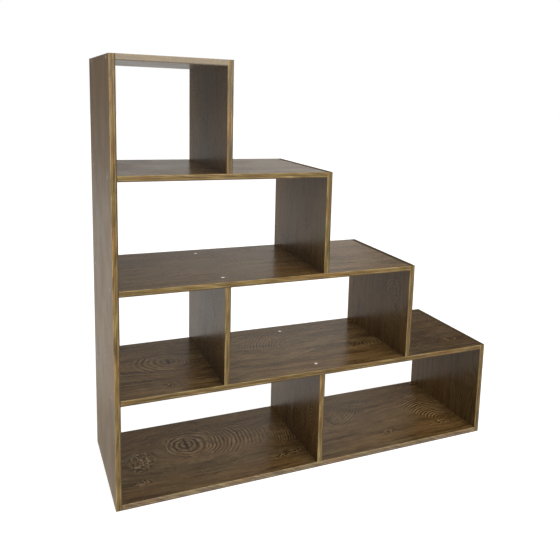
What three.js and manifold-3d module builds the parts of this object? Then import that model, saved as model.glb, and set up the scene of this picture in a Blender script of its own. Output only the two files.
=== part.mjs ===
// Staircase bookshelf: twelve 16 mm laminated boards on a square grid of equal cells,
// stepping down from a tall left side panel to a low right side panel.
// Millimetres. Origin on the floor at the centre of the footprint, +X to the right
// (the low end), +Y to the back, +Z up. The front edges lie at -DEPTH / 2.
import * as THREE from 'three';
import { mergeVertices } from 'three/addons/utils/BufferGeometryUtils.js';
import Module from 'manifold-3d';

// ---------------------------------------------------------------- driving dimensions
const T = 16;                  // board thickness
const CELL = 280;              // clear width and height of a single cell
const STEPS = 4;               // steps across, and rows up
const DEPTH = 400;             // front to back, edge band included
const BAND = 1;                // thickness of the glued front edge band

const PITCH = CELL + T;                      // 296, from one upright or shelf to the next
const WIDTH = STEPS * PITCH + T;             // 1200
const HEIGHT = STEPS * PITCH + T;            // 1200

// One-piece chipboard screws with a countersunk head and a hexagon socket
const SCREW_INSET = 50;        // from the front and back edges to the screw axes
const SCREW_LENGTH = 50;
const HEAD_R = 5;
const HEAD_RIM = 0.8;          // height of the cylindrical rim of the head
const HEAD_DEPTH = 4;          // depth at which the cone meets the shoulder
const SHOULDER_R = 3.5;
const SHOULDER_END = 14;       // depth at which the shoulder ends, just inside the first board
const CORE_R = 2.5;            // core of the thread
const TIP_R = 1;
const TIP_LENGTH = 3;
const SOCKET_AF = 4;           // hexagon socket, across flats
const SOCKET_DEPTH = 2.6;
const GAP = 0.3;               // clearance of the drilled holes around the screws
const SIDES = 10;              // facets round a screw or a hole

// ---------------------------------------------------------------- colours and finishes
const boardMaterial = () => new THREE.MeshStandardMaterial({ color: 0x5d5043, roughness: 0.5, metalness: 0 });
const bandMaterial = () => new THREE.MeshStandardMaterial({ color: 0x96805a, roughness: 0.55, metalness: 0 });
const screwMaterial = () => new THREE.MeshStandardMaterial({ color: 0xc9c6bd, roughness: 0.35, metalness: 0.9 });

// ---------------------------------------------------------------- solids
const wasm = await Module();
wasm.setup();

function toSolid(geometry) {
  const g = geometry.clone();
  g.deleteAttribute('normal');
  g.deleteAttribute('uv');
  const merged = mergeVertices(g, 1e-5);
  return new wasm.Manifold(new wasm.Mesh({
    numProp: 3,
    vertProperties: Float32Array.from(merged.attributes.position.array),
    triVerts: Uint32Array.from(merged.index.array),
  }));
}

function toGeometry(solid) {
  const m = solid.getMesh();
  const positions = new Float32Array(m.numVert * 3);
  for (let i = 0; i < m.numVert; i++) {
    for (let k = 0; k < 3; k++) positions[3 * i + k] = m.vertProperties[m.numProp * i + k];
  }
  const g = new THREE.BufferGeometry();
  g.setAttribute('position', new THREE.BufferAttribute(positions, 3));
  g.setIndex(new THREE.BufferAttribute(Uint32Array.from(m.triVerts), 1));
  g.computeVertexNormals();
  return g;
}

// A turned solid about the Y axis, from (radius, height) pairs listed from the lower end up.
function turned(profile, sides = SIDES) {
  return new THREE.LatheGeometry(profile.map(([r, y]) => new THREE.Vector2(r, y)), sides);
}

// The same closed surface with its triangles divided along the plane x = value, so that the
// part of a shelf that lies open and the part under a riser are faces of their own.
function dividedAtX(geometry, value) {
  const verts = Array.from(geometry.attributes.position.array);
  const side = (i) => Math.sign(Math.round((verts[3 * i] - value) * 1e4));
  const made = new Map();
  const between = (a, b) => {
    const key = a < b ? `${a}_${b}` : `${b}_${a}`;
    if (!made.has(key)) {
      const [i, j] = a < b ? [a, b] : [b, a];
      const t = (value - verts[3 * i]) / (verts[3 * j] - verts[3 * i]);
      made.set(key, verts.length / 3);
      verts.push(value, ...[1, 2].map((k) => verts[3 * i + k] + t * (verts[3 * j + k] - verts[3 * i + k])));
    }
    return made.get(key);
  };
  const index = [];
  const old = geometry.index.array;
  for (let n = 0; n < old.length; n += 3) {
    let tri = [old[n], old[n + 1], old[n + 2]];
    const s = tri.map(side);
    if (!(s.includes(1) && s.includes(-1))) {
      index.push(...tri);
      continue;
    }
    // turn the triangle so that its first corner is the one on the plane, or the lone one
    const first = s.includes(0) ? s.indexOf(0) : s.findIndex((v) => s.filter((w) => w === v).length === 1);
    tri = [0, 1, 2].map((k) => tri[(first + k) % 3]);
    const [a, b, c] = tri;
    if (side(a) === 0) {
      const m = between(b, c);
      index.push(a, b, m, a, m, c);
    } else {
      const m = between(a, b);
      const q = between(a, c);
      index.push(a, m, q, m, b, c, m, c, q);
    }
  }
  const g = new THREE.BufferGeometry();
  g.setAttribute('position', new THREE.BufferAttribute(Float32Array.from(verts), 3));
  g.setIndex(index);
  g.computeVertexNormals();
  return g;
}

// Geometry with its screw axis along Y, head at y = 0 and tip at y = -SCREW_LENGTH, turned so
// that the tip points along dir.
function pointing(geometry, dir) {
  if (dir === '+x') geometry.rotateZ(Math.PI / 2);
  if (dir === '-x') geometry.rotateZ(-Math.PI / 2);
  if (dir === '+z') geometry.rotateX(-Math.PI / 2);
  if (dir === '-z') geometry.rotateX(Math.PI / 2);
  return geometry;
}

function screwGeometry(dir) {
  const body = toSolid(turned([
    [0, -SCREW_LENGTH],
    [TIP_R, -SCREW_LENGTH],
    [CORE_R, -SCREW_LENGTH + TIP_LENGTH],
    [CORE_R, -SHOULDER_END - 1],
    [SHOULDER_R, -SHOULDER_END],
    [SHOULDER_R, -HEAD_DEPTH],
    [HEAD_R, -HEAD_RIM],
    [HEAD_R, 0],
    [0, 0],
  ]));
  const socket = new THREE.CylinderGeometry(SOCKET_AF / Math.sqrt(3), SOCKET_AF / Math.sqrt(3), 2 * SOCKET_DEPTH, 6);
  return pointing(toGeometry(body.subtract(toSolid(socket))), dir);
}

// The countersunk hole through the first board.
function throughHole(dir) {
  return pointing(turned([
    [0, -(T + 2)],
    [SHOULDER_R + GAP, -(T + 2)],
    [SHOULDER_R + GAP, -(HEAD_DEPTH + GAP)],
    [HEAD_R + GAP, -(HEAD_RIM + GAP)],
    [HEAD_R + GAP, 2],
    [0, 2],
  ]), dir);
}

// The pilot hole in the end of the second board.
function pilotHole(dir) {
  return pointing(turned([
    [0, -(SCREW_LENGTH + GAP)],
    [CORE_R + GAP, -(SCREW_LENGTH + GAP)],
    [CORE_R + GAP, -(T - 2)],
    [0, -(T - 2)],
  ]), dir);
}

// ---------------------------------------------------------------- the grid
// Positions of the uprights and shelves: number n of STEPS, 0 at the left side or the floor.
const at = (n) => n * PITCH;                 // lower face, measured from the left or the floor
const toX = (x) => x - WIDTH / 2;            // from the left side to the frame's X

// Boards: name, x from the left side, z from the floor.
const boards = {
  left_side_panel: { x: [0, T], z: [0, HEIGHT] },
  top_board: { x: [T, at(1)], z: [at(4), HEIGHT] },
  top_riser: { x: [at(1), at(1) + T], z: [at(3) + T, HEIGHT] },
  upper_shelf: { x: [T, at(2)], z: [at(3), at(3) + T] },
  upper_riser: { x: [at(2), at(2) + T], z: [at(2) + T, at(3) + T] },
  middle_shelf: { x: [T, at(3)], z: [at(2), at(2) + T] },
  lower_riser: { x: [at(3), at(3) + T], z: [at(1) + T, at(2) + T] },
  lower_shelf: { x: [T, at(4)], z: [at(1), at(1) + T] },
  right_side_panel: { x: [at(4), WIDTH], z: [0, at(1) + T] },
  bottom_board: { x: [T, at(4)], z: [0, T] },
  middle_row_divider: { x: [at(1), at(1) + T], z: [at(1) + T, at(2)] },
  bottom_row_divider: { x: [at(2), at(2) + T], z: [T, at(1)] },
};

// Where the open part of each shelf, the tread of a step, begins behind its riser.
const treads = {
  upper_shelf: at(1) + T,
  middle_shelf: at(2) + T,
  lower_shelf: at(3) + T,
};

// Butt joints: the screws go through the first board into the end of the second.
// x and z give the middle of the head's face; dir is the way the tip points.
const mid = T / 2;
const joints = [
  ['left_side_panel', 'top_board', 0, at(4) + mid, '+x'],
  ['left_side_panel', 'upper_shelf', 0, at(3) + mid, '+x'],
  ['left_side_panel', 'middle_shelf', 0, at(2) + mid, '+x'],
  ['left_side_panel', 'lower_shelf', 0, at(1) + mid, '+x'],
  ['left_side_panel', 'bottom_board', 0, mid, '+x'],
  ['top_riser', 'top_board', at(1) + T, at(4) + mid, '-x'],
  ['upper_riser', 'upper_shelf', at(2) + T, at(3) + mid, '-x'],
  ['lower_riser', 'middle_shelf', at(3) + T, at(2) + mid, '-x'],
  ['right_side_panel', 'lower_shelf', WIDTH, at(1) + mid, '-x'],
  ['right_side_panel', 'bottom_board', WIDTH, mid, '-x'],
  ['upper_shelf', 'top_riser', at(1) + mid, at(3), '+z'],
  ['middle_shelf', 'upper_riser', at(2) + mid, at(2), '+z'],
  ['lower_shelf', 'lower_riser', at(3) + mid, at(1), '+z'],
  ['lower_shelf', 'middle_row_divider', at(1) + mid, at(1), '+z'],
  ['middle_shelf', 'middle_row_divider', at(1) + mid, at(2) + T, '-z'],
  ['bottom_board', 'bottom_row_divider', at(2) + mid, 0, '+z'],
  ['lower_shelf', 'bottom_row_divider', at(2) + mid, at(1) + T, '-z'],
];
const screwRows = { front: -DEPTH / 2 + SCREW_INSET, back: DEPTH / 2 - SCREW_INSET };

// ---------------------------------------------------------------- assembly
const group = new THREE.Group();
const boardGroup = new THREE.Group();
const bandGroup = new THREE.Group();
const screwGroup = new THREE.Group();
group.add(boardGroup, bandGroup, screwGroup);

for (const [name, { x, z }] of Object.entries(boards)) {
  const w = x[1] - x[0];
  const h = z[1] - z[0];
  const centre = new THREE.Vector3(toX((x[0] + x[1]) / 2), BAND / 2, (z[0] + z[1]) / 2);

  // the board, its front edge set back by the band, with its screw holes
  let solid = toSolid(new THREE.BoxGeometry(w, DEPTH - BAND, h));
  for (const [first, second, jx, jz, dir] of joints) {
    if (name !== first && name !== second) continue;
    for (const y of Object.values(screwRows)) {
      const hole = name === first ? throughHole(dir) : pilotHole(dir);
      hole.translate(toX(jx) - centre.x, y - centre.y, jz - centre.z);
      solid = solid.subtract(toSolid(hole));
    }
  }
  let geometry = toGeometry(solid);
  if (name in treads) geometry = dividedAtX(geometry, toX(treads[name]) - centre.x);
  const board = new THREE.Mesh(geometry, boardMaterial());
  board.name = name;
  board.position.copy(centre);
  boardGroup.add(board);

  // its front edge band
  const band = new THREE.Mesh(new THREE.BoxGeometry(w, BAND, h), bandMaterial());
  band.name = name + '_front_band';
  band.position.set(centre.x, -DEPTH / 2 + BAND / 2, centre.z);
  bandGroup.add(band);
}

for (const [first, second, jx, jz, dir] of joints) {
  for (const [row, y] of Object.entries(screwRows)) {
    const screw = new THREE.Mesh(screwGeometry(dir), screwMaterial());
    screw.name = `screw_${first}_to_${second}_${row}`;
    screw.position.set(toX(jx), y, jz);
    screwGroup.add(screw);
  }
}

export default group;
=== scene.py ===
import math

import bmesh
import bpy
from mathutils import Matrix, Vector


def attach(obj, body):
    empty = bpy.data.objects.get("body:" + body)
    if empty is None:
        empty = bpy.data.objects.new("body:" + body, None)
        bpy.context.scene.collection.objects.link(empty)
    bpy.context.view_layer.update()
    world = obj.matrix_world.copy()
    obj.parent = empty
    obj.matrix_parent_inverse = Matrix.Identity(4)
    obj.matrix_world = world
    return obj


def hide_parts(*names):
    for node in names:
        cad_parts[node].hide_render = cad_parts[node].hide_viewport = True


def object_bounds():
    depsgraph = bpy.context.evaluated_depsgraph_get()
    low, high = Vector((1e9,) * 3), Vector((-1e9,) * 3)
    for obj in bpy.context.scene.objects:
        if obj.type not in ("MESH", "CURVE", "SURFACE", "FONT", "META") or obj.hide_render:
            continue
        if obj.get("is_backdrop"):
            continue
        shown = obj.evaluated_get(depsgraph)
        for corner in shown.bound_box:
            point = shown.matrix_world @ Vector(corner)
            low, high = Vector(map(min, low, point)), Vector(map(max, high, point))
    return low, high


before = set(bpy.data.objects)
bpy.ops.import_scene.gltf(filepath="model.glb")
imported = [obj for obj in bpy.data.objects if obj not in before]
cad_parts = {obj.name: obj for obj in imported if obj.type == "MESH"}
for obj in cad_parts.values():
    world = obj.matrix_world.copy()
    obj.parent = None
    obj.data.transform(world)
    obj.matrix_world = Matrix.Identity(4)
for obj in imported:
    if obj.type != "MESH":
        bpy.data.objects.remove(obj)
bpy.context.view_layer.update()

# ------------------------------------------------------------------------------------------
# Staircase bookshelf: twelve laminated boards, their edge bands and the screws.
# Metres. Origin on the floor at the centre of the footprint, +X right, +Y back, +Z up.
# ------------------------------------------------------------------------------------------
MM = 0.001
T = 16 * MM                  # board thickness
DEPTH = 400 * MM
WIDTH = 1200 * MM
FRONT = -DEPTH / 2           # y of the front edges
BAND = 1 * MM                # front edge band
THIN_BAND = 0.5 * MM         # band on the back edges and on the exposed ends
LEFT = -WIDTH / 2            # x of the left outer face

# ------------------------------------------------------------------------------------------
# camera
# ------------------------------------------------------------------------------------------
FOCAL_PX = 667.0686
PRINCIPAL = (322.268, 206.0)
cam_data = bpy.data.cameras.new("camera")
cam = bpy.data.objects.new("camera", cam_data)
bpy.context.scene.collection.objects.link(cam)
bpy.context.scene.camera = cam
cam_data.sensor_fit = "HORIZONTAL"
cam_data.sensor_width = 36
cam_data.lens = FOCAL_PX / 560 * 36
cam_data.shift_x = -(PRINCIPAL[0] - 279.5) / 560
cam_data.shift_y = -(279.5 - PRINCIPAL[1]) / 560
cam_data.clip_start, cam_data.clip_end = 0.05, 100
right = Vector((0.904061, -0.426024, 0.034304))
down = Vector((-0.038266, -0.160620, -0.986274))
forward = Vector((0.425687, 0.890340, -0.161513))
cam.matrix_world = Matrix((
    (right.x, -down.x, -forward.x, -0.828442),
    (right.y, -down.y, -forward.y, -1.891557),
    (right.z, -down.z, -forward.z, 1.112664),
    (0, 0, 0, 1),
))

# ------------------------------------------------------------------------------------------
# the construction: x from the left outer face, z from the floor, in millimetres
# ------------------------------------------------------------------------------------------
BOARDS = {
    "left_side_panel": (0, 16, 0, 1200),
    "top_board": (16, 296, 1184, 1200),
    "top_riser": (296, 312, 904, 1200),
    "upper_shelf": (16, 592, 888, 904),
    "upper_riser": (592, 608, 608, 904),
    "middle_shelf": (16, 888, 592, 608),
    "lower_riser": (888, 904, 312, 608),
    "lower_shelf": (16, 1184, 296, 312),
    "right_side_panel": (1184, 1200, 0, 312),
    "bottom_board": (16, 1184, 0, 16),
    "middle_row_divider": (296, 312, 312, 592),
    "bottom_row_divider": (592, 608, 16, 296),
}
UPRIGHT = {n for n, (x0, x1, z0, z1) in BOARDS.items() if x1 - x0 == 16}
BARE_TOP = ["left_side_panel", "top_riser", "upper_riser", "lower_riser", "right_side_panel"]

# first board, second board, x and z of the head's face, direction of the tip
JOINTS = [
    ("left_side_panel", "top_board", 0, 1192, "+x"),
    ("left_side_panel", "upper_shelf", 0, 896, "+x"),
    ("left_side_panel", "middle_shelf", 0, 600, "+x"),
    ("left_side_panel", "lower_shelf", 0, 304, "+x"),
    ("left_side_panel", "bottom_board", 0, 8, "+x"),
    ("top_riser", "top_board", 312, 1192, "-x"),
    ("upper_riser", "upper_shelf", 608, 896, "-x"),
    ("lower_riser", "middle_shelf", 904, 600, "-x"),
    ("right_side_panel", "lower_shelf", 1200, 304, "-x"),
    ("right_side_panel", "bottom_board", 1200, 8, "-x"),
    ("upper_shelf", "top_riser", 304, 888, "+z"),
    ("middle_shelf", "upper_riser", 600, 592, "+z"),
    ("lower_shelf", "lower_riser", 896, 296, "+z"),
    ("lower_shelf", "middle_row_divider", 304, 296, "+z"),
    ("middle_shelf", "middle_row_divider", 304, 608, "-z"),
    ("bottom_board", "bottom_row_divider", 600, 0, "+z"),
    ("lower_shelf", "bottom_row_divider", 600, 312, "-z"),
]
SCREW_Y = {"front": -150 * MM, "back": 150 * MM}


# ------------------------------------------------------------------------------------------
# node helpers
# ------------------------------------------------------------------------------------------
class Tree:
    def __init__(self, name):
        self.material = bpy.data.materials.new(name)
        self.material.use_nodes = True
        self.tree = self.material.node_tree
        self.tree.nodes.clear()
        self.out = self.tree.nodes.new("ShaderNodeOutputMaterial")
        self.shader = self.tree.nodes.new("ShaderNodeBsdfPrincipled")
        self.tree.links.new(self.shader.outputs[0], self.out.inputs["Surface"])

    def put(self, socket, value):
        if isinstance(value, bpy.types.NodeSocket):
            self.tree.links.new(value, socket)
        else:
            socket.default_value = value

    def math(self, op, *values, clamp=False):
        node = self.tree.nodes.new("ShaderNodeMath")
        node.operation, node.use_clamp = op, clamp
        for socket, value in zip(node.inputs, values):
            self.put(socket, value)
        return node.outputs[0]

    def add(self, a, b): return self.math("ADD", a, b)
    def sub(self, a, b): return self.math("SUBTRACT", a, b)
    def mul(self, a, b): return self.math("MULTIPLY", a, b)

    def xyz(self, x, y, z=0.0):
        node = self.tree.nodes.new("ShaderNodeCombineXYZ")
        for socket, value in zip(node.inputs, (x, y, z)):
            self.put(socket, value)
        return node.outputs[0]

    def noise(self, vector, scale=1.0, detail=2.0, rough=0.5, distortion=0.0):
        node = self.tree.nodes.new("ShaderNodeTexNoise")
        node.noise_dimensions = "3D"
        self.put(node.inputs["Vector"], vector)
        for key, value in (("Scale", scale), ("Detail", detail), ("Roughness", rough), ("Distortion", distortion)):
            self.put(node.inputs[key], value)
        return node.outputs["Fac"]

    def smooth(self, value, low, high, to_low=0.0, to_high=1.0):
        node = self.tree.nodes.new("ShaderNodeMapRange")
        node.interpolation_type = "SMOOTHSTEP"
        for key, v in (("Value", value), ("From Min", low), ("From Max", high), ("To Min", to_low), ("To Max", to_high)):
            self.put(node.inputs[key], v)
        return node.outputs["Result"]

    def ramp(self, value, stops):
        node = self.tree.nodes.new("ShaderNodeValToRGB")
        node.color_ramp.interpolation = "EASE"
        while len(node.color_ramp.elements) < len(stops):
            node.color_ramp.elements.new(0.5)
        for element, (position, colour) in zip(node.color_ramp.elements, stops):
            element.position, element.color = position, (*colour, 1)
        self.put(node.inputs["Fac"], value)
        return node.outputs["Color"]

    def mix(self, factor, a, b, kind="MIX"):
        node = self.tree.nodes.new("ShaderNodeMix")
        node.data_type, node.blend_type = "RGBA", kind
        for key, value in ((0, factor), (6, a), (7, b)):
            if not isinstance(value, bpy.types.NodeSocket) and key:
                value = (*value, 1)
            self.put(node.inputs[key], value)
        return node.outputs[2]

    def bump(self, height, distance, strength=1.0):
        node = self.tree.nodes.new("ShaderNodeBump")
        self.put(node.inputs["Height"], height)
        node.inputs["Distance"].default_value = distance
        node.inputs["Strength"].default_value = strength
        self.tree.links.new(node.outputs[0], self.shader.inputs["Normal"])

    def grain(self):
        """u along the grain and v across it, in metres, as the mesh code wrote them."""
        node = self.tree.nodes.new("ShaderNodeAttribute")
        node.attribute_type, node.attribute_name = "GEOMETRY", "grain"
        split = self.tree.nodes.new("ShaderNodeSeparateXYZ")
        self.tree.links.new(node.outputs["Vector"], split.inputs[0])
        return split.outputs[0], split.outputs[1]


# ------------------------------------------------------------------------------------------
# walnut laminate: straight grain that flows round knots, with rings inside them
# ------------------------------------------------------------------------------------------
LAMINATE_IOR = 1.37
WALNUT = [
    (0.00, (0.028, 0.0128, 0.0032)),
    (0.25, (0.055, 0.0300, 0.0088)),
    (0.50, (0.102, 0.0600, 0.0205)),
    (0.75, (0.168, 0.1060, 0.0430)),
    (1.00, (0.280, 0.1900, 0.0940)),
]


def knot(u, v, left, right, across, angle=0.0, rings=1.0, heart=0.0, crack=0.0, ragged=0.002,
         pitch=0.0055, lean=0.0, core=0.0, shape=1.0, off=(0.0, 0.0), turn=0.0, burl=0.0):
    """A ring figure round (u, v). Its rings are circles that grow by pitch; beyond the radius
    core they also drift towards +u by lean times their growth. shape squeezes them across the
    grain and ragged roughens them, in metres. left, right and across are the half sizes of the
    area that they show in, off its offset. angle turns everything, turn the area alone, in
    degrees. rings is how strongly they show, burl how crumpled the area is, heart the radius of
    the dark middle and crack the length of the crack through it."""
    return dict(u=u, v=v, left=left, right=right, across=across, angle=math.radians(angle), rings=rings,
                heart=heart, crack=crack, ragged=ragged, pitch=pitch, lean=lean, core=core, shape=shape,
                off=off, turn=math.radians(turn), burl=burl)


def walnut(name, seed, knots=(), dark_bands=(), painted_shading=None, tone=0.0, contrast=1.0, fine=1.0, threads=105.0, rough=0.22,
           length=1.2, across=0.4):
    n = Tree(name)
    u, v = n.grain()
    seed = float(seed)
    # wandering of the grain
    wide = n.sub(n.noise(n.xyz(n.mul(u, 1.3), n.mul(v, 4.5), seed), detail=1.0), 0.5)
    small = n.sub(n.noise(n.xyz(n.mul(u, 5.5), n.mul(v, 15.0), seed + 3.7), detail=2.0), 0.5)
    field = n.add(n.add(v, n.mul(wide, 0.085)), n.mul(small, 0.026))
    jitter = n.sub(n.noise(n.xyz(n.mul(u, 30.0), n.mul(v, 36.0), seed + 9.1), detail=3.0, rough=0.6), 0.5)
    wobble = n.sub(n.noise(n.xyz(n.mul(u, 9.0), n.mul(v, 11.0), seed + 10.3), detail=1.0), 0.5)

    def turned(x, y, angle):
        if not angle:
            return x, y
        c, s = math.cos(angle), math.sin(angle)
        return n.add(n.mul(x, c), n.mul(y, s)), n.sub(n.mul(y, c), n.mul(x, s))

    def longest(a, b):
        return b if a is None else n.math("MAXIMUM", a, b)

    ring_field = weight = heart = crack = burl = None
    for index, k in enumerate(knots):
        du, dv = turned(n.sub(u, k["u"]), n.sub(v, k["v"]), k["angle"])
        # the area that the figure shows in
        au, av = turned(n.sub(du, k["off"][0]), n.sub(dv, k["off"][1]), k["turn"])
        if k["left"] == k["right"]:
            along = n.math("DIVIDE", au, k["left"])
        else:
            along = n.mul(au, n.smooth(au, -0.3 * k["left"], 0.3 * k["right"], 1 / k["left"], 1 / k["right"]))
        aside = n.math("DIVIDE", av, k["across"])
        e = n.math("SQRT", n.add(n.mul(along, along), n.mul(aside, aside)))
        e = n.mul(e, n.add(1.0, n.mul(jitter, 0.55)))
        # the straight grain gives way to it
        push = n.math("EXPONENT", n.mul(n.mul(e, e), -1.1))
        field = n.sub(field, n.mul(n.mul(av, push), 0.8))
        # radius of the ring through this point
        dvs = n.mul(dv, 1 / k["shape"])
        radius = n.math("SQRT", n.add(n.mul(du, du), n.mul(dvs, dvs)))
        if k["lean"]:
            q = 1 - k["lean"] ** 2
            shifted = n.add(du, k["lean"] * k["core"])
            root = n.math("SQRT", n.add(n.mul(shifted, shifted), n.mul(n.mul(dvs, dvs), q)))
            drifted = n.math("DIVIDE", n.sub(root, n.mul(shifted, k["lean"])), q)
            beyond = n.math("GREATER_THAN", radius, k["core"])
            radius = n.add(radius, n.mul(beyond, n.sub(drifted, radius)))
        if k["rings"]:
            w = n.mul(n.smooth(e, 0.60, 1.15, 1.0, 0.0), k["rings"])
            uneven = n.add(n.mul(jitter, 2 * k["ragged"]), n.mul(wobble, 1.6 * k["pitch"]))
            f = n.add(n.math("DIVIDE", n.add(radius, uneven), k["pitch"]), 17.3 * (index + 1))
            if ring_field is None:
                ring_field, weight = f, w
            else:
                nearer = n.math("GREATER_THAN", w, weight)
                ring_field = n.add(ring_field, n.mul(nearer, n.sub(f, ring_field)))
                weight = n.math("MAXIMUM", weight, w)
        if k["burl"]:
            burl = longest(burl, n.mul(n.smooth(e, 0.35, 1.1, 1.0, 0.0), k["burl"]))
        if k["heart"]:
            r = n.add(radius, n.mul(jitter, 0.6 * k["heart"]))
            heart = longest(heart, n.smooth(r, 0.3 * k["heart"], 1.4 * k["heart"], 1.0, 0.0))
        if k["crack"]:
            bend = n.mul(n.sub(n.noise(n.xyz(n.mul(v, 90.0), seed + index), detail=2.0), 0.5), 0.014)
            cu, cv = n.math("DIVIDE", n.add(du, bend), 0.0058), n.math("DIVIDE", dv, k["crack"] / 2)
            d = n.math("SQRT", n.add(n.mul(cu, cu), n.mul(cv, cv)))
            crack = longest(crack, n.smooth(d, 0.45, 1.15, 1.0, 0.0))

    # straight figure: broad tones, streaks and broken dark lines that all follow the field
    broad = n.sub(n.noise(n.xyz(n.mul(field, 13.0), n.mul(u, 1.6), seed + 1.0), detail=2.0), 0.5)
    streak = n.sub(n.noise(n.xyz(n.mul(field, 60.0), n.mul(u, 2.6), seed + 2.0), detail=3.0, rough=0.62), 0.5)
    line = n.sub(n.noise(n.xyz(n.mul(field, 190.0), n.mul(u, 6.0), seed + 3.0), detail=4.0, rough=0.7), 0.5)
    fleck = n.sub(n.noise(n.xyz(n.mul(u, 34.0), n.mul(field, 120.0), seed + 15.0), detail=2.0, rough=0.6), 0.5)
    thread = n.noise(n.xyz(n.mul(field, threads), n.mul(u, 5.0), seed + 21.0), detail=1.0, rough=0.6)
    thread = n.smooth(thread, 0.34, 0.60, -0.6, 0.4)
    gaps = n.noise(n.xyz(n.mul(u, 6.0), n.mul(v, 26.0), seed + 14.0), detail=2.0)

    def vein(count, drift, width, shift):
        d = n.math("ABSOLUTE", n.sub(n.noise(n.xyz(n.mul(field, count), n.mul(u, drift), seed + shift), detail=2.0), 0.5))
        return n.smooth(d, 0.15 * width, width, 1.0, 0.0)

    veins = n.add(n.mul(vein(40.0, 1.5, 0.06, 13.0), 0.13), n.mul(vein(90.0, 3.4, 0.09, 16.0), 0.11))
    veins = n.mul(veins, n.smooth(gaps, 0.40, 0.60))
    figure = n.add(n.mul(streak, 0.22), n.mul(n.add(n.mul(thread, 0.17), n.add(n.mul(line, 0.60), n.mul(fleck, 0.38))), fine))
    figure = n.mul(n.sub(figure, veins), contrast)
    if ring_field is not None:
        # growth rings of unequal strength: a dark line each, lighter wood between, broken along their length
        broken = n.noise(n.xyz(n.mul(u, 26.0), n.mul(v, 34.0), seed + 6.0), detail=2.0)
        broken = n.smooth(broken, 0.32, 0.58, 0.30, 1.0)
        phase = n.math("FRACT", ring_field)
        each = n.noise(n.xyz(n.mul(n.math("FLOOR", ring_field), 0.73), seed + 4.0), detail=1.0)
        each = n.smooth(each, 0.38, 0.60, 0.35, 1.15)
        dark = n.smooth(n.math("ABSOLUTE", n.sub(phase, 0.5)), 0.02, 0.20, 1.0, 0.0)
        light = n.smooth(n.math("ABSOLUTE", n.sub(phase, 0.5)), 0.26, 0.46)
        rings = n.sub(n.mul(light, 0.38), n.mul(dark, n.mul(each, 1.10)))
        tone_field = n.sub(n.noise(n.xyz(n.mul(ring_field, 0.40), n.mul(u, 1.0), seed + 5.5), detail=2.0), 0.5)
        rings = n.add(n.mul(rings, broken), n.mul(tone_field, 0.35))
        rings = n.add(rings, n.mul(n.add(n.mul(thread, 0.06), n.mul(n.add(line, fleck), 0.36)), fine))
        figure = n.add(n.mul(figure, n.sub(1.0, weight)), n.mul(rings, weight))
    if burl is not None:
        crumple = n.noise(n.xyz(n.mul(u, 120.0), n.mul(v, 84.0), seed + 18.0), detail=3.0, rough=0.62, distortion=1.2)
        crumple = n.sub(n.smooth(crumple, 0.37, 0.60, 0.0, 1.12), 0.70)
        figure = n.add(n.mul(figure, n.sub(1.0, burl)), n.mul(crumple, n.mul(burl, 1.2)))
    value = n.add(n.add(0.50 + tone, n.mul(broad, 0.26 * contrast)), figure)

    # long dark bands across the whole face
    for at, width, strength in dark_bands:
        ripple = n.mul(n.sub(n.noise(n.xyz(n.mul(u, 3.0), seed + at * 10), detail=2.0), 0.5), 0.04)
        d = n.math("ABSOLUTE", n.sub(n.add(v, ripple), at))
        value = n.sub(value, n.smooth(d, 0.0, width, strength, 0.0))
    # painted shade along the grain: darker past the given span, and painted light where the strength is negative
    if painted_shading:
        value = n.sub(value, n.smooth(u, painted_shading[0], painted_shading[1], 0.0, painted_shading[2]))
    # open pores: short dark dashes along the grain
    pore = n.noise(n.xyz(n.mul(u, 55.0), n.mul(field, 1150.0), seed + 5.0), detail=1.0)
    pores = n.smooth(pore, 0.60, 0.72)
    value = n.sub(value, n.mul(pores, 0.12))
    if heart is not None:
        value = n.sub(value, n.mul(heart, 0.34))
    if crack is not None:
        value = n.sub(value, n.mul(crack, 0.8))
    colour = n.ramp(value, WALNUT)
    # warm and grey areas
    hue = n.noise(n.xyz(n.mul(u, 2.2), n.mul(v, 7.0), seed + 8.0), detail=2.0)
    colour = n.mix(n.smooth(hue, 0.35, 0.65), n.mix(1.0, colour, (1.05, 0.97, 0.88), "MULTIPLY"), n.mix(1.0, colour, (0.97, 1.0, 1.05), "MULTIPLY"))
    # worn, slightly lighter edges of the laminate
    edge = n.math("MINIMUM", n.math("MINIMUM", v, n.sub(across, v)), n.math("MINIMUM", u, n.sub(length, u)))
    rub = n.noise(n.xyz(n.mul(u, 60.0), n.mul(v, 60.0), seed + 11.0), detail=3.0, rough=0.6)
    wear = n.mul(n.smooth(edge, 0.0004, 0.0018, 1.0, 0.0), n.smooth(rub, 0.42, 0.66, 0.0, 0.45))
    colour = n.mix(wear, colour, (0.15, 0.105, 0.062))
    n.put(n.shader.inputs["Base Color"], colour)
    n.shader.inputs["IOR"].default_value = LAMINATE_IOR
    # satin, with the print's pores a little rougher and faint handling marks
    smear = n.noise(n.xyz(n.mul(u, 9.0), n.mul(v, 12.0), seed + 12.0), detail=3.0)
    rough = n.add(n.smooth(smear, 0.3, 0.7, rough, rough + 0.06), n.mul(pores, 0.12))
    n.put(n.shader.inputs["Roughness"], n.sub(rough, n.mul(line, 0.10)))
    n.bump(n.add(n.mul(line, 0.5), n.mul(pores, -1.0)), 0.00006, 0.6)
    return n.material


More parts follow.
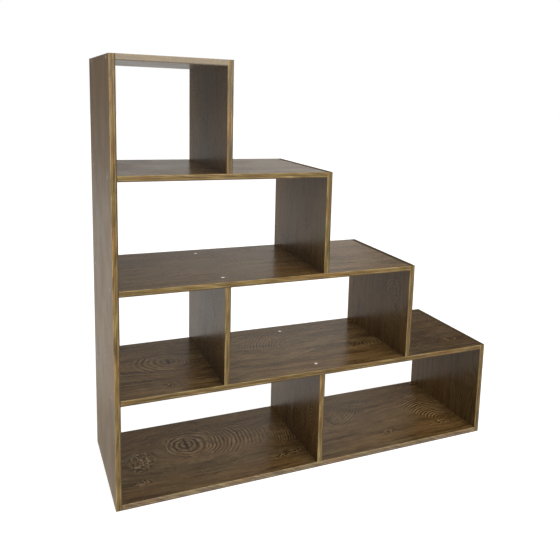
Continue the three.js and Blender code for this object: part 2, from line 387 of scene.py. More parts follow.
# ------------------------------------------------------------------------------------------
# oak-coloured edge band: lengthwise streaks in gold, olive and beige
# ------------------------------------------------------------------------------------------
def oak(name, seed, flip=False, slant=0.06, tone=0.0, pale=(0.0, 0.0, 0.0), painted_sheen=0.0):
    n = Tree(name)
    u, v = n.grain()
    if flip:
        v = n.sub(T, v)
    seed = float(seed)
    sway = n.mul(n.sub(n.noise(n.xyz(n.mul(u, 4.0), seed), detail=2.0), 0.5), 0.0045)
    lane = n.add(v, sway)
    field = n.add(lane, n.mul(u, slant))
    # strands along the band: a dark lower rim, a dark line in the middle, and a pale upper rim that is a painted
    # highlight on the lit edge
    strands_and_rim_highlight = n.smooth(lane, 0.0008, 0.0036, -0.42, 0.06)
    middle = n.math("ABSOLUTE", n.sub(lane, 0.0078))
    strands_and_rim_highlight = n.sub(strands_and_rim_highlight, n.smooth(middle, 0.0004, 0.0028, 0.24, 0.0))
    strands_and_rim_highlight = n.sub(strands_and_rim_highlight, n.smooth(n.math("ABSOLUTE", n.sub(lane, 0.0128)), 0.0002, 0.0015, 0.14, 0.0))
    strands_and_rim_highlight = n.add(strands_and_rim_highlight, n.smooth(v, 0.0132, 0.0150, 0.0, 0.30))
    broad = n.sub(n.noise(n.xyz(n.mul(field, 190.0), n.mul(u, 12.0), seed + 1.0), detail=2.0), 0.5)
    line = n.sub(n.noise(n.xyz(n.mul(field, 460.0), n.mul(u, 14.0), seed + 2.0), detail=3.0, rough=0.6), 0.5)
    patch = n.sub(n.noise(n.xyz(n.mul(u, 16.0), n.mul(v, 50.0), seed + 3.0), detail=2.0), 0.5)
    value = n.add(n.add(0.56 + tone, n.mul(broad, 1.00)), n.add(n.mul(line, 1.35), n.mul(patch, 0.40)))
    value = n.add(value, strands_and_rim_highlight)
    pore = n.noise(n.xyz(n.mul(u, 90.0), n.mul(field, 1500.0), seed + 4.0), detail=1.0)
    pores = n.smooth(pore, 0.56, 0.68)
    value = n.sub(value, n.mul(pores, 0.16))
    stops = [
        (0.00, (0.036, 0.0205, 0.0054)),
        (0.28, (0.092, 0.0560, 0.0150)),
        (0.52, (0.165, 0.1060, 0.0310)),
        (0.75, (0.244, 0.1640, 0.0580)),
        (1.00, (0.390, 0.2880, 0.1400)),
    ]
    # pale is added to every stop; on the lowest band it is painted light from the floor
    colour = n.ramp(value, [(at, tuple(c + w for c, w in zip(rgb, pale))) for at, rgb in stops])
    # the print drifts between reddish brown and olive along the band
    drift = n.noise(n.xyz(n.mul(u, 11.0), n.mul(v, 40.0), seed + 7.0), detail=2.0)
    colour = n.mix(n.smooth(drift, 0.50, 0.66, 0.0, 0.75), colour, (1.04, 0.88, 0.70), "MULTIPLY")
    colour = n.mix(n.smooth(drift, 0.34, 0.48, 0.85, 0.0), colour, (0.98, 1.04, 0.90), "MULTIPLY")
    # painted sheen: a mix towards pale grey beige for a light's reflection on the upper bands
    if painted_sheen:
        colour = n.mix(painted_sheen, colour, (0.275, 0.232, 0.175))
    # darker rims: a wide one below, a thin one above
    rim = n.math("MAXIMUM", n.smooth(v, 0.0010, 0.0042, 0.66, 0.0), n.smooth(n.sub(T, v), 0.0002, 0.0013, 0.40, 0.0))
    colour = n.mix(rim, colour, (0.052, 0.034, 0.016))
    n.put(n.shader.inputs["Base Color"], colour)
    n.put(n.shader.inputs["Roughness"], n.add(n.smooth(patch, -0.2, 0.2, 0.22, 0.30), n.mul(pores, 0.12)))
    n.bump(n.add(n.mul(line, 0.5), n.mul(pores, -1.0)), 0.00008, 0.6)
    return n.material


def brown_band(name, seed, tone=0.0, rough=0.40, gloss=0.5):
    """Walnut-coloured band of the back edges and the exposed ends."""
    n = Tree(name)
    u, v = n.grain()
    seed = float(seed)
    streak = n.sub(n.noise(n.xyz(n.mul(v, 260.0), n.mul(u, 2.4), seed), detail=3.0, rough=0.6), 0.5)
    patch = n.sub(n.noise(n.xyz(n.mul(u, 8.0), n.mul(v, 50.0), seed + 3.0), detail=2.0), 0.5)
    pore = n.noise(n.xyz(n.mul(u, 65.0), n.mul(v, 1700.0), seed + 4.0), detail=1.0)
    pores = n.smooth(pore, 0.58, 0.70)
    value = n.sub(n.add(n.add(0.40 + tone, n.mul(streak, 0.6)), n.mul(patch, 0.35)), n.mul(pores, 0.1))
    n.put(n.shader.inputs["Base Color"], n.ramp(value, WALNUT))
    n.put(n.shader.inputs["Roughness"], n.add(n.smooth(patch, -0.2, 0.2, rough, rough + 0.1), n.mul(pores, 0.1)))
    n.shader.inputs["Specular IOR Level"].default_value = gloss
    n.bump(n.add(n.mul(streak, 0.5), n.mul(pores, -1.0)), 0.00006, 0.6)
    return n.material


def chipboard(name, seed):
    """Bare particle board, inside the drilled holes and on the unfinished ends."""
    n = Tree(name)
    node = n.tree.nodes.new("ShaderNodeTexCoord")
    place = node.outputs["Object"]
    cells = n.tree.nodes.new("ShaderNodeTexVoronoi")
    n.put(cells.inputs["Vector"], place)
    cells.inputs["Scale"].default_value = 520.0
    tint = n.tree.nodes.new("ShaderNodeSeparateColor")
    n.tree.links.new(cells.outputs["Color"], tint.inputs[0])
    fine = n.noise(place, scale=900.0, detail=3.0)
    value = n.add(n.mul(tint.outputs[0], 0.55), n.mul(fine, 0.45))
    n.put(n.shader.inputs["Base Color"], n.ramp(value, [
        (0.1, (0.10, 0.066, 0.038)), (0.5, (0.30, 0.215, 0.125)), (0.9, (0.50, 0.39, 0.25)),
    ]))
    n.put(n.shader.inputs["Roughness"], n.smooth(fine, 0.3, 0.7, 0.75, 0.92))
    n.bump(value, 0.0003, 0.8)
    return n.material


def zinc(name, bright=1.0):
    n = Tree(name)
    place = n.tree.nodes.new("ShaderNodeTexCoord").outputs["Object"]
    brushed = n.noise(place, scale=1600.0, detail=3.0, rough=0.6)
    cloud = n.noise(place, scale=240.0, detail=2.0)
    value = n.add(n.mul(brushed, 0.5), n.mul(cloud, 0.5))
    n.put(n.shader.inputs["Base Color"], n.ramp(value, [
        (at, tuple(c * bright for c in rgb))
        for at, rgb in ((0.30, (0.74, 0.73, 0.70)), (0.55, (0.93, 0.92, 0.89)), (0.75, (0.97, 0.96, 0.94)))
    ]))
    n.shader.inputs["Metallic"].default_value = 0.12
    n.put(n.shader.inputs["Roughness"], n.smooth(brushed, 0.3, 0.7, 0.28, 0.42))
    n.bump(brushed, 0.00004, 0.5)
    return n.material


# ------------------------------------------------------------------------------------------
# mesh helpers
# ------------------------------------------------------------------------------------------
def link(name, mesh):
    piece = bpy.data.objects.new(name, mesh)
    bpy.context.scene.collection.objects.link(piece)
    return piece


def rounded_box(name, low, high, width, segments=3):
    """A box with rounded edges. width is the rounding in metres."""
    bm = bmesh.new()
    bmesh.ops.create_cube(bm, size=1.0)
    middle, size = (Vector(low) + Vector(high)) / 2, Vector(high) - Vector(low)
    for vert in bm.verts:
        vert.co = Vector((vert.co.x * size.x, vert.co.y * size.y, vert.co.z * size.z)) + middle
    bmesh.ops.bevel(bm, geom=list(bm.edges), offset=width, segments=segments, profile=0.5, affect="EDGES", clamp_overlap=True)
    bmesh.ops.recalc_face_normals(bm, faces=list(bm.faces))
    mesh = bpy.data.meshes.new(name)
    bm.to_mesh(mesh)
    bm.free()
    return mesh


# the screw's own axes: head face at z = 0, tip at z = -50 mm
TURNS = {
    "+x": Matrix.Rotation(math.radians(-90), 4, "Y"),
    "-x": Matrix.Rotation(math.radians(90), 4, "Y"),
    "+z": Matrix.Rotation(math.radians(180), 4, "X"),
    "-z": Matrix.Identity(4),
}


def grid_mesh(name, rings, poles):
    """A closed mesh from rings of points, each ring with the same count, and the two poles."""
    count = len(rings[0])
    verts = [poles[0]] + [p for ring in rings for p in ring] + [poles[1]]
    faces = [(0, 1 + (i + 1) % count, 1 + i) for i in range(count)]
    for r in range(len(rings) - 1):
        a, b = 1 + r * count, 1 + (r + 1) * count
        faces += [(a + i, a + (i + 1) % count, b + (i + 1) % count, b + i) for i in range(count)]
    last = 1 + (len(rings) - 1) * count
    faces += [(last + i, last + (i + 1) % count, len(verts) - 1) for i in range(count)]
    mesh = bpy.data.meshes.new(name)
    mesh.from_pydata([tuple(c * MM for c in p) for p in verts], [], faces)
    mesh.validate()
    return mesh


def circle(radius, z, count):
    return [(radius * math.cos(2 * math.pi * i / count), radius * math.sin(2 * math.pi * i / count), z) for i in range(count)]


def hole_cutter(kind, count=36):
    """Millimetres. The countersunk hole through the first board, or the pilot hole in the second."""
    if kind == "through":
        profile = [(3.65, -18), (3.65, -4.3), (5.15, -1.0), (5.15, -0.12), (5.4, 0.12), (5.4, 1.0)]
        ends = (-18, 1.0)
    else:
        profile = [(1.2, -50.6), (3.4, -47.4), (3.4, -14.0)]
        ends = (-50.6, -14.0)
    rings = [circle(r, z, count) for r, z in profile]
    return grid_mesh("cutter", rings, ((0, 0, ends[0]), (0, 0, ends[1])))


def screw_mesh(count=24):
    """Millimetres. Tip, cut thread, plain shoulder, countersunk head with a hexagon socket."""
    core, crest, pitch = 2.45, 3.3, 2.6
    rings = [circle(0.55, -49.9, count), circle(1.0, -49.2, count), circle(1.9, -47.9, count)]
    steps = 6
    start, stop = -47.2, -15.6
    total = int((stop - start) / pitch * steps)
    for s in range(total + 1):
        z = start + (stop - start) * s / total
        fade = min(1, (z - start) / 2.5, (stop - z) / 2.0)
        ring = []
        for i in range(count):
            a = 2 * math.pi * i / count
            phase = ((z - start) / pitch - i / count) % 1.0
            tooth = max(0.0, 1 - abs(phase - 0.5) / 0.24)
            r = core - 0.25 * (1 - min(1, (z - start) / 2)) + (crest - core) * tooth * max(0, fade)
            ring.append((r * math.cos(a), r * math.sin(a), z))
        rings.append(ring)
    for r, z in ((2.5, -15.2), (3.4, -14.2), (3.5, -13.9), (3.5, -4.15), (3.6, -3.95), (4.86, -1.15),
                 (5.0, -0.85), (5.0, -0.3), (4.95, -0.13), (4.82, -0.04), (4.66, 0.0)):
        rings.append(circle(r, z, count))

    def hexagon(across_flats, z):
        ring = []
        for i in range(count):
            a = 2 * math.pi * i / count
            r = across_flats / 2 / math.cos((a % (math.pi / 3)) - math.pi / 6)
            ring.append((r * math.cos(a), r * math.sin(a), z))
        return ring

    rings += [hexagon(4.6, 0.0), hexagon(4.3, -0.08), hexagon(4.0, -0.3), hexagon(4.0, -2.55), hexagon(3.6, -2.6)]
    return grid_mesh("screw", rings, ((0, 0, -50), (0, 0, -2.9)))


def smooth_by_angle(mesh, degrees):
    for poly in mesh.polygons:
        poly.use_smooth = True
    mesh.set_sharp_from_angle(angle=math.radians(degrees))


def write_grain(mesh, kind, low, high):
    """Writes each corner's place along and across the grain, in metres from the piece's own
    low end and front. Uprights and vertical bands run along Z, the others along X or Y."""
    attribute = mesh.attributes.new("grain", "FLOAT_VECTOR", "CORNER")
    values = [0.0] * (3 * len(mesh.loops))
    for poly in mesh.polygons:
        axis = max(range(3), key=lambda i: abs(poly.normal[i]))
        for loop in poly.loop_indices:
            p = mesh.vertices[mesh.loops[loop].vertex_index].co
            x, y, z = p.x - LEFT, p.y - FRONT, p.z
            if kind == "flat":
                u, v = {0: (y, z - low[2]), 1: (x, z - low[2]), 2: (x, y)}[axis]
            elif kind == "upright":
                u, v = {0: (z, y), 1: (z, p.x - low[0]), 2: (y, p.x - low[0])}[axis]
            elif kind == "band_x":
                u, v = (x, z - low[2])
            elif kind == "band_z":
                u, v = (z, p.x - low[0])
            else:  # band_y
                u, v = (y, p.x - low[0])
            values[3 * loop:3 * loop + 3] = (u, v, 0.0)
    attribute.data.foreach_set("vector", values)


def finish_piece(piece, slot, *nodes):
    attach(piece, "root")
    if nodes:
        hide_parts(*nodes)


# ------------------------------------------------------------------------------------------
# figures of the two large faces of each board: (top or left face, bottom or right face).
# u is from the left end for the flat boards and from the floor for the uprights, v from the front.
# ------------------------------------------------------------------------------------------
# Painted shading in these figures: the upper riser, lower riser and both row dividers darker at their feet, and the
# lower shelf darker from beside the lower riser on, are painted shade; the left panel's outer face lighter towards the
# floor, and the middle shelf's open step and the bottom board's right cell lighter, are painted light.
FIGURES = {
    "bottom_board": (
        dict(seed=11, tone=0.03, fine=1.6, contrast=0.85, painted_shading=(0.52, 0.66, -0.045), dark_bands=[(0.106, 0.030, 0.09), (0.33, 0.02, 0.05)], knots=[
            knot(0.249, 0.246, 0.092, 0.105, 0.105, rings=0.91, heart=0.008, crack=0.085, pitch=0.0166, lean=0.25, core=0.042, ragged=0.009),
            knot(0.249, 0.246, 0.110, 0.290, 0.112, rings=0.84, pitch=0.0088, lean=0.42, core=0.036, ragged=0.004),
            knot(0.095, 0.199, 0.050, 0.060, 0.070, rings=0.0, heart=0.006, burl=1.0),
            knot(0.440, 0.215, 0.055, 0.055, 0.095, rings=0.7, pitch=0.0088, off=(0.118, 0.010), ragged=0.004, lean=0.0),
            knot(0.302, 0.325, 0.030, 0.034, 0.008, rings=0.0, heart=0.006),
            knot(0.529, 0.084, 0.060, 0.064, 0.022, angle=8, rings=0.0, heart=0.008, burl=0.9),
            knot(0.084, 0.084, 0.036, 0.050, 0.018, rings=0.0, heart=0.006, burl=0.8),
            knot(1.125, 0.095, 0.085, 0.085, 0.105, rings=1.6, ragged=0.003, pitch=0.0110, off=(-0.005, 0.115)),
            knot(0.640, 0.420, 0.150, 0.150, 0.070, rings=0.45, ragged=0.004, pitch=0.0110, off=(0.13, -0.19), turn=25),
            knot(0.892, 0.084, 0.034, 0.050, 0.016, rings=0.0, heart=0.007, burl=0.8),
            knot(1.106, 0.079, 0.040, 0.055, 0.018, rings=0.0, heart=0.006, burl=0.8),
        ]),
        dict(seed=12, contrast=0.8, knots=[knot(0.41, 0.14, 0.10, 0.18, 0.06, heart=0.008, lean=0.5), knot(0.93, 0.27, 0.08, 0.14, 0.05, heart=0.007, lean=0.4)]),
    ),
    "lower_shelf": (
        dict(seed=21, tone=0.09, fine=1.5, threads=80.0, painted_shading=(0.86, 0.96, 0.24), dark_bands=[(0.092, 0.028, 0.10)], knots=[
            knot(0.187, 0.217, 0.120, 0.090, 0.090, rings=0.56, heart=0.006, crack=0.040, pitch=0.0150, lean=-0.25, core=0.03, ragged=0.004),
            knot(0.161, 0.057, 0.030, 0.040, 0.018, rings=0.0, heart=0.006, burl=0.7),
            knot(0.640, 0.200, 0.100, 0.100, 0.090, rings=0.6, ragged=0.005, pitch=0.0095, off=(-0.110, 0.045)),
            knot(0.760, 0.160, 0.120, 0.180, 0.050, angle=6, rings=0.4, ragged=0.003, pitch=0.0080, lean=0.7),
            knot(1.120, 0.085, 0.056, 0.056, 0.030, rings=0.0, heart=0.009, burl=0.9),
            knot(1.080, 0.265, 0.060, 0.080, 0.034, rings=0.5, heart=0.004, ragged=0.004, pitch=0.0060, lean=0.5),
        ]),
        dict(seed=22, contrast=0.8, knots=[knot(0.30, 0.22, 0.10, 0.20, 0.06, heart=0.008, crack=0.03, lean=0.5), knot(0.86, 0.12, 0.10, 0.14, 0.05, heart=0.006, lean=0.3)]),
    ),
    "middle_shelf": (
        dict(seed=31, tone=0.03, contrast=0.8, fine=1.5, threads=60.0, painted_shading=(0.60, 0.64, -0.08), dark_bands=[(0.30, 0.03, 0.05)], knots=[
            knot(0.140, 0.115, 0.060, 0.090, 0.030, rings=0.35, ragged=0.006, pitch=0.006, lean=0.5),
            knot(0.480, 0.060, 0.050, 0.060, 0.014, rings=0.4, heart=0.004, ragged=0.006, pitch=0.005),
            knot(0.760, 0.210, 0.060, 0.090, 0.030, rings=0.4, heart=0.004, ragged=0.004, pitch=0.006, lean=0.4),
        ]),
        dict(seed=32, contrast=0.8, knots=[knot(0.52, 0.20, 0.12, 0.22, 0.06, heart=0.009, crack=0.03, lean=0.5)]),
    ),
    "upper_shelf": (
        dict(seed=41, contrast=0.75, fine=1.1, threads=60.0, knots=[knot(0.220, 0.280, 0.070, 0.110, 0.035, rings=0.3, ragged=0.004, pitch=0.007, lean=0.5)]),
        dict(seed=42, contrast=0.8, knots=[knot(0.33, 0.15, 0.10, 0.16, 0.05, heart=0.007, lean=0.5)]),
    ),
    "top_board": (
        dict(seed=51, knots=[knot(0.150, 0.210, 0.060, 0.090, 0.050, rings=0.25, heart=0.007, ragged=0.008, pitch=0.0115, lean=0.4)]),
        dict(seed=52, contrast=0.8),
    ),
    "left_side_panel": (
        dict(seed=61, contrast=0.6, rough=0.30, tone=0.075, painted_shading=(1.15, 0.30, -0.095), knots=[
            knot(0.34, 0.15, 0.09, 0.16, 0.05, rings=0.25, pitch=0.0110, lean=0.5),
            knot(0.86, 0.27, 0.08, 0.14, 0.05, rings=0.25, heart=0.004, pitch=0.0100, lean=0.5),
        ]),
        dict(seed=62, contrast=0.8, knots=[
            knot(0.47, 0.22, 0.07, 0.12, 0.05, rings=0.25, heart=0.007, ragged=0.008, pitch=0.0115, lean=0.4),
            knot(1.03, 0.16, 0.07, 0.12, 0.045, rings=0.3, ragged=0.008, pitch=0.0115, heart=0.006, lean=0.4),
        ]),
    ),
    "top_riser": (
        dict(seed=71, contrast=0.7, knots=[knot(0.98, 0.24, 0.05, 0.09, 0.035, rings=0.25, pitch=0.007, lean=0.5)]),
        dict(seed=72, contrast=0.8, knots=[knot(1.05, 0.18, 0.06, 0.10, 0.045, rings=0.25, heart=0.006, ragged=0.008, pitch=0.0115, lean=0.4)]),
    ),
    "upper_riser": (
        dict(seed=81, contrast=0.65, painted_shading=(0.70, 0.62, 0.16), knots=[knot(0.74, 0.13, 0.05, 0.08, 0.030, rings=0.4, pitch=0.006, lean=0.4)]),
        dict(seed=82, contrast=0.8, knots=[knot(0.72, 0.25, 0.07, 0.12, 0.05, rings=0.25, heart=0.007, ragged=0.008, pitch=0.0115, lean=0.4)]),
    ),
    "lower_riser": (
        dict(seed=91, contrast=0.75, fine=1.2, painted_shading=(0.43, 0.33, 0.10), knots=[
            knot(0.508, 0.089, 0.052, 0.056, 0.046, rings=0.45, ragged=0.006, pitch=0.0120, burl=0.45),
            knot(0.330, 0.150, 0.070, 0.100, 0.040, rings=0.5, ragged=0.004, pitch=0.0110, off=(0.085, -0.080), turn=-35),
        ]),
        dict(seed=92, contrast=0.8, knots=[knot(0.44, 0.21, 0.06, 0.10, 0.045, rings=0.25, heart=0.007, ragged=0.008, pitch=0.0115, lean=0.4)]),
    ),
    "right_side_panel": (
        dict(seed=101, contrast=0.75, fine=1.3, tone=-0.06, knots=[
            knot(0.187, 0.167, 0.022, 0.030, 0.014, rings=0.7, heart=0.004, ragged=0.004, pitch=0.0052),
            knot(0.060, 0.150, 0.070, 0.140, 0.055, rings=0.5, ragged=0.004, pitch=0.0110, off=(0.075, -0.085), turn=-30),
        ]),
        dict(seed=102, contrast=0.8, knots=[knot(0.19, 0.27, 0.05, 0.09, 0.04, rings=0.3, ragged=0.008, pitch=0.0115, heart=0.006, lean=0.4)]),
    ),
    "middle_row_divider": (
        dict(seed=111, contrast=0.6, painted_shading=(0.42, 0.33, 0.15)),
        dict(seed=112, contrast=0.8, knots=[knot(0.45, 0.20, 0.05, 0.09, 0.04, rings=0.25, heart=0.006, ragged=0.008, pitch=0.0115, lean=0.4)]),
    ),
    "bottom_row_divider": (
        dict(seed=121, contrast=0.75, painted_shading=(0.14, 0.04, 0.14), knots=[knot(0.110, 0.050, 0.040, 0.080, 0.030, rings=0.5, pitch=0.008, lean=0.5)]),
        dict(seed=122, contrast=0.8, knots=[knot(0.16, 0.23, 0.06, 0.09, 0.04, rings=0.25, heart=0.006, ragged=0.008, pitch=0.0115, lean=0.4)]),
    ),
}

bare = chipboard("bare_particle_board", 1)
metal = zinc("zinc_plated_steel")
# a darker copy of the same zinc: painted shade for the screws in the left panel's outer face
shaded_zinc = zinc("zinc_plated_steel_painted_shade", bright=0.45)

# ------------------------------------------------------------------------------------------
# boards
# ------------------------------------------------------------------------------------------
for index, (name, (x0, x1, z0, z1)) in enumerate(BOARDS.items()):
    low = Vector((LEFT + x0 * MM, FRONT + BAND, z0 * MM))
    high = Vector((LEFT + x1 * MM, -FRONT - THIN_BAND, z1 * MM - (THIN_BAND if name in BARE_TOP else 0)))
    kind = "upright" if name in UPRIGHT else "flat"
    piece = link(name + "_body", rounded_box(name + "_body", low, high, 0.35 * MM))
    cutters = []
    for first, second, x, z, tip in JOINTS:
        for y in SCREW_Y.values():
            if name in (first, second):
                cutter = link("cutter", hole_cutter("through" if name == first else "pilot"))
                cutter.data.transform(Matrix.Translation((LEFT + x * MM, y, z * MM)) @ TURNS[tip])
                cutters.append(cutter)
    whole = bmesh.new()
    for cutter in cutters:
        whole.from_mesh(cutter.data)
        old = cutter.data
        bpy.data.objects.remove(cutter)
        bpy.data.meshes.remove(old)
    bmesh.ops.recalc_face_normals(whole, faces=list(whole.faces))
    merged = bpy.data.meshes.new("cutters")
    whole.to_mesh(merged)
    whole.free()
    tool = link("cutters", merged)
    cut = piece.modifiers.new("holes", "BOOLEAN")
    cut.operation, cut.solver, cut.object = "DIFFERENCE", "EXACT", tool
    bpy.context.view_layer.update()
    made = bpy.data.meshes.new_from_object(piece.evaluated_get(bpy.context.evaluated_depsgraph_get()))
    piece.modifiers.clear()
    plain = piece.data
    piece.data = made
    bpy.data.meshes.remove(plain)
    bpy.data.objects.remove(tool)
    bpy.data.meshes.remove(merged)
    made.name = name + "_body"
    # faces: 0 top or left, 1 bottom or right, 2 narrow edges, 3 bare board in the holes and ends
    made.materials.clear()
    a, b = FIGURES[name]
    span = dict(length=x1 * MM if kind == "flat" else z1 * MM)
    made.materials.append(walnut(name + "_face_a", **a, **span))
    made.materials.append(walnut(name + "_face_b", **b, **span))
    made.materials.append(brown_band(name + "_edge", a["seed"] + 5))
    made.materials.append(bare)
    inner = 0.36 * MM
    for poly in made.polygons:
        c = poly.center
        axis = max(range(3), key=lambda i: abs(poly.normal[i]))
        inside = all(low[i] + inner < c[i] < high[i] - inner for i in range(3))
        if inside:
            poly.material_index = 3
        elif kind == "flat":
            poly.material_index = (3, 2, 0 if poly.normal.z > 0 else 1)[axis]
        else:
            poly.material_index = (0 if poly.normal.x < 0 else 1, 2, 3)[axis]
    write_grain(made, kind, low, high)
    finish_piece(piece, "walnut_laminate", name)

# ------------------------------------------------------------------------------------------
# bands
# ------------------------------------------------------------------------------------------
# the lowest band's figure runs askew and is paler, painted light from the floor; the highest band is the palest, a
# painted sheen, and the top riser's band has a little of it
BAND_LOOKS = {
    "bottom_board": dict(slant=0.42, pale=(0.007, 0.016, 0.035)),
    "top_board": dict(painted_sheen=0.72),
    "top_riser": dict(tone=-0.11, painted_sheen=0.10),
    "upper_riser": dict(tone=-0.09),
    "lower_riser": dict(tone=-0.08),
    "right_side_panel": dict(tone=-0.12),
    "lower_shelf": dict(tone=-0.06),
}
for index, (name, (x0, x1, z0, z1)) in enumerate(BOARDS.items()):
    kind = "band_z" if name in UPRIGHT else "band_x"
    seed = 200 + 7 * index
    low = Vector((LEFT + x0 * MM, FRONT, z0 * MM))
    high = Vector((LEFT + x1 * MM, FRONT + BAND, z1 * MM))
    mesh = rounded_box(name + "_oak_band", low, high, 0.3 * MM)
    mesh.materials.append(oak(name + "_oak", seed, flip=name in UPRIGHT, **BAND_LOOKS.get(name, {})))
    write_grain(mesh, kind, low, high)
    finish_piece(link(name + "_oak_band", mesh), "oak_edge_band", name + "_front_band")
    # back edge
    low = Vector((LEFT + x0 * MM, -FRONT - THIN_BAND, z0 * MM))
    high = Vector((LEFT + x1 * MM, -FRONT, z1 * MM))
    mesh = rounded_box(name + "_back_band", low, high, 0.2 * MM, 2)
    mesh.materials.append(brown_band(name + "_back", seed + 1))
    write_grain(mesh, kind, low, high)
    finish_piece(link(name + "_back_band", mesh), "walnut_laminate")
    # exposed top end
    if name in BARE_TOP:
        low = Vector((LEFT + x0 * MM, FRONT + BAND, z1 * MM - THIN_BAND))
        high = Vector((LEFT + x1 * MM, -FRONT - THIN_BAND, z1 * MM))
        mesh = rounded_box(name + "_top_band", low, high, 0.2 * MM, 2)
        mesh.materials.append(brown_band(name + "_top", seed + 2, -0.16, 0.65, 0.2))
        write_grain(mesh, "band_y", low, high)
        finish_piece(link(name + "_top_band", mesh), "walnut_laminate")

# ------------------------------------------------------------------------------------------
# screws
# ------------------------------------------------------------------------------------------
master = screw_mesh()
master.materials.append(metal)
smooth_by_angle(master, 35)
turn = 0
for first, second, x, z, tip in JOINTS:
    for end, y in SCREW_Y.items():
        mesh = master.copy()
        turn += 1
        spin = Matrix.Rotation(math.radians((37 * turn) % 60), 4, "Z")
        mesh.transform(Matrix.Translation((LEFT + x * MM, y, z * MM)) @ TURNS[tip] @ spin)
        # painted shade: the screws in the left panel get the darker copy of the zinc
        if first == "left_side_panel":
            mesh.materials[0] = shaded_zinc
        node = f"screw_{first}_to_{second}_{end}"
        mesh.name = "visual_" + node
        finish_piece(link("visual_" + node, mesh), "zinc_plated_steel", node)
bpy.data.meshes.remove(master)

# ------------------------------------------------------------------------------------------
# stage: pale floor, pale surroundings, soft light
# ------------------------------------------------------------------------------------------
floor_mesh = bpy.data.meshes.new("floor")
floor_mesh.from_pydata([(-30, -30, 0), (30, -30, 0), (30, 30, 0), (-30, 30, 0)], [], [(0, 1, 2, 3)])
floor = link("floor", floor_mesh)
stone = Tree("floor")
spot = stone.tree.nodes.new("ShaderNodeTexCoord").outputs["Object"]
cloudy = stone.noise(spot, scale=1.2, detail=3.0)
pale = stone.ramp(cloudy, [(0.3, (0.84, 0.84, 0.84)), (0.7, (0.87, 0.87, 0.87))])
stone.put(stone.shader.inputs["Base Color"], pale)
stone.shader.inputs["Roughness"].default_value = 0.7
stone.shader.inputs["Specular IOR Level"].default_value = 0.2
rays = stone.tree.nodes.new("ShaderNodeLightPath")


def glowing(colour, strength):
    node = stone.tree.nodes.new("ShaderNodeEmission")
    node.inputs["Color"].default_value = (*colour, 1)
    stone.put(node.inputs["Strength"], strength)
    return node.outputs[0]


def blended(factor, a, b):
    node = stone.tree.nodes.new("ShaderNodeMixShader")
    stone.put(node.inputs[0], factor)
    stone.put(node.inputs[1], a)
    stone.put(node.inputs[2], b)
    return node.outputs[0]


# the paper glows a little for the camera, so shadows on it stay light
seen_paper = blended(0.5, stone.shader.outputs[0], glowing((1, 1, 1), 1.62))
# what it gives back to the furniture: an even glow, weaker on the right and, in gloss, close by and far away
reach = stone.tree.nodes.new("ShaderNodeVectorMath")
reach.operation = "LENGTH"
stone.put(reach.inputs[0], spot)
place = stone.tree.nodes.new("ShaderNodeSeparateXYZ")
stone.put(place.inputs[0], spot)
near = stone.smooth(place.outputs[0], -0.3, 0.3, 1.25, 0.66)
matt_glow = stone.mix(stone.smooth(reach.outputs["Value"], 2.0, 4.0), stone.mix(near, (0, 0, 0), (1, 1, 1)), (1.1, 1.1, 1.1))
far = stone.smooth(stone.math("DIVIDE", place.outputs[0], reach.outputs["Value"]), -0.20, 0.15, 0.32, 0.55)
gloss_glow = stone.mul(stone.smooth(reach.outputs["Value"], 3.5, 11.0, 0.68, far), stone.smooth(place.outputs[0], -0.70, -0.50, stone.smooth(reach.outputs["Value"], 0.6, 1.1, 0.5, 1.0), 1.0))
given = blended(rays.outputs["Is Glossy Ray"], glowing((1, 0.962, 0.908), matt_glow), glowing((1, 0.962, 0.908), gloss_glow))
stone.put(stone.out.inputs["Surface"], blended(rays.outputs["Is Camera Ray"], given, seen_paper))
floor_mesh.materials.append(stone.material)
floor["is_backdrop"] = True

world = bpy.data.worlds.new("studio")
bpy.context.scene.world = world
world.use_nodes = True
background = world.node_tree.nodes["Background"]


def world_node(kind, **settings):
    node = world.node_tree.nodes.new(kind)
    for key, value in settings.items():
        setattr(node, key, value)
    return node


def world_put(socket, value):
    if isinstance(value, bpy.types.NodeSocket):
        world.node_tree.links.new(value, socket)
    else:
        socket.default_value = value


def world_range(source, *numbers):
    node = world_node("ShaderNodeMapRange", interpolation_type="SMOOTHSTEP")
    world_put(node.inputs["Value"], source)
    for key, value in zip(("From Min", "From Max", "To Min", "To Max"), numbers):
        world_put(node.inputs[key], value)
    return node.outputs["Result"]


def world_mix(factor, a, b):
    node = world_node("ShaderNodeMix", data_type="FLOAT")
    world_put(node.inputs[0], factor)
    world_put(node.inputs[2], a)
    world_put(node.inputs[3], b)
    return node.outputs[0]


# a white room seen directly; the light in it comes from large soft panels at mid height, brighter
# behind and on the left, and what glossy surfaces see of it is dimmer
direction = world_node("ShaderNodeTexCoord")
parts = world_node("ShaderNodeSeparateXYZ")
world_put(parts.inputs[0], direction.outputs["Generated"])
low_room = world_range(parts.outputs["X"], -0.70, -0.50, 1.80, 0.80)
low_room = world_mix(world_range(parts.outputs["X"], -0.1, 0.1, 0.0, 1.0), low_room, 1.60)
low_room = world_mix(world_range(parts.outputs["X"], 0.45, 0.65, 0.0, 1.0), low_room, 0.45)
low_room = world_mix(world_range(parts.outputs["Y"], -0.1, 0.1, 0.0, 1.0), 0.20, low_room)
high_room = world_range(parts.outputs["X"], -0.1, 0.1, 1.50, 2.6)
high_room = world_mix(world_range(parts.outputs["X"], 0.45, 0.65, 0.0, 1.0), high_room, 0.45)
room = world_mix(world_range(parts.outputs["Z"], 0.25, 0.45, 0.0, 1.0), low_room, high_room)
room = world_mix(world_range(parts.outputs["Z"], 0.70, 0.85, 0.0, 1.0), room, 0.05)
low_wall = world_range(parts.outputs["X"], -0.15, 0.20, 0.20, 0.66)
high_wall = world_range(parts.outputs["X"], 0.10, 0.45, 0.27, 0.64)
gloss = world_mix(world_range(parts.outputs["Z"], 0.06, 0.26, 0.0, 1.0), low_wall, high_wall)
gloss = world_mix(world_range(parts.outputs["Z"], 0.50, 1.0, 0.0, 1.0), gloss, 0.4)
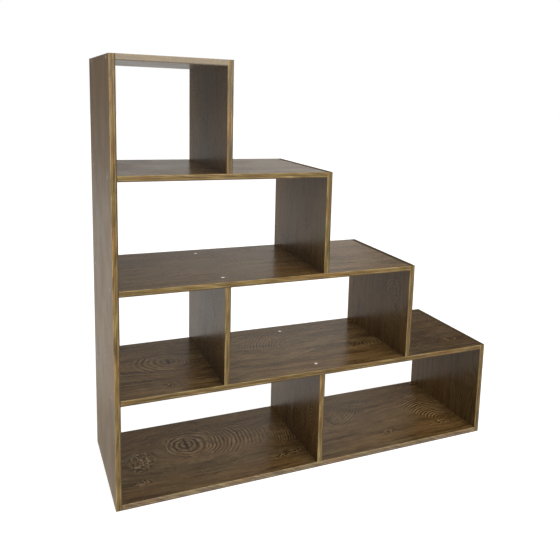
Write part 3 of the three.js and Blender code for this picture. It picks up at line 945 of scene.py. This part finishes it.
dark_corner = world_mix(world_range(parts.outputs["Z"], 0.14, 0.22, 0.0, 1.0), 0.0, world_range(parts.outputs["X"], 0.46, 0.50, 0.0, 1.0))
dark_corner = world_mix(world_range(parts.outputs["Z"], 0.50, 0.60, 0.0, 1.0), dark_corner, 0.0)
gloss = world_mix(world_mix(world_range(parts.outputs["Y"], 0.0, 0.3, 0.0, 1.0), 0.0, dark_corner), gloss, 0.04)
# a bright window in front, at eye height
window = world_range(parts.outputs["Y"], -0.90, -0.78, 1.0, 0.0)
window = world_mix(world_range(parts.outputs["Z"], -0.10, -0.01, 0.0, 1.0), 0.0, window)
window = world_mix(world_range(parts.outputs["Z"], 0.20, 0.32, 0.0, 1.0), window, 0.0)
window = world_mix(world_range(parts.outputs["X"], -0.10, 0.05, 0.0, 1.0), 0.0, window)
gloss = world_mix(window, gloss, 3.2)
seen = world_node("ShaderNodeLightPath")
level = world_mix(seen.outputs["Is Camera Ray"], world_mix(seen.outputs["Is Glossy Ray"], room, gloss), 1.0)
tint = world_node("ShaderNodeMix", data_type="RGBA")
world_put(tint.inputs[0], seen.outputs["Is Camera Ray"])
world_put(tint.inputs[6], (1.0, 0.962, 0.908, 1))
world_put(tint.inputs[7], (1, 1, 1, 1))
world_put(background.inputs["Color"], tint.outputs[2])
world_put(background.inputs["Strength"], level)


def soft_light(name, place, target, size, power, colour=(1, 1, 1)):
    data = bpy.data.lights.new(name, "AREA")
    data.shape, data.size, data.size_y = "RECTANGLE", size[0], size[1]
    data.energy, data.color = power, colour
    lamp = bpy.data.objects.new(name, data)
    bpy.context.scene.collection.objects.link(lamp)
    lamp.location = place
    lamp.visible_glossy = False
    lamp.rotation_mode = "QUATERNION"
    lamp.rotation_quaternion = (Vector(target) - Vector(place)).to_track_quat("-Z", "Y")
    return lamp


soft_light("front", (1.2, -2.8, 2.9), (0, 0, 0.6), (3.0, 1.6), 88)

bpy.context.scene.view_settings.view_transform = "Standard"
bpy.context.scene.view_settings.look = "None"

low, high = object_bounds()
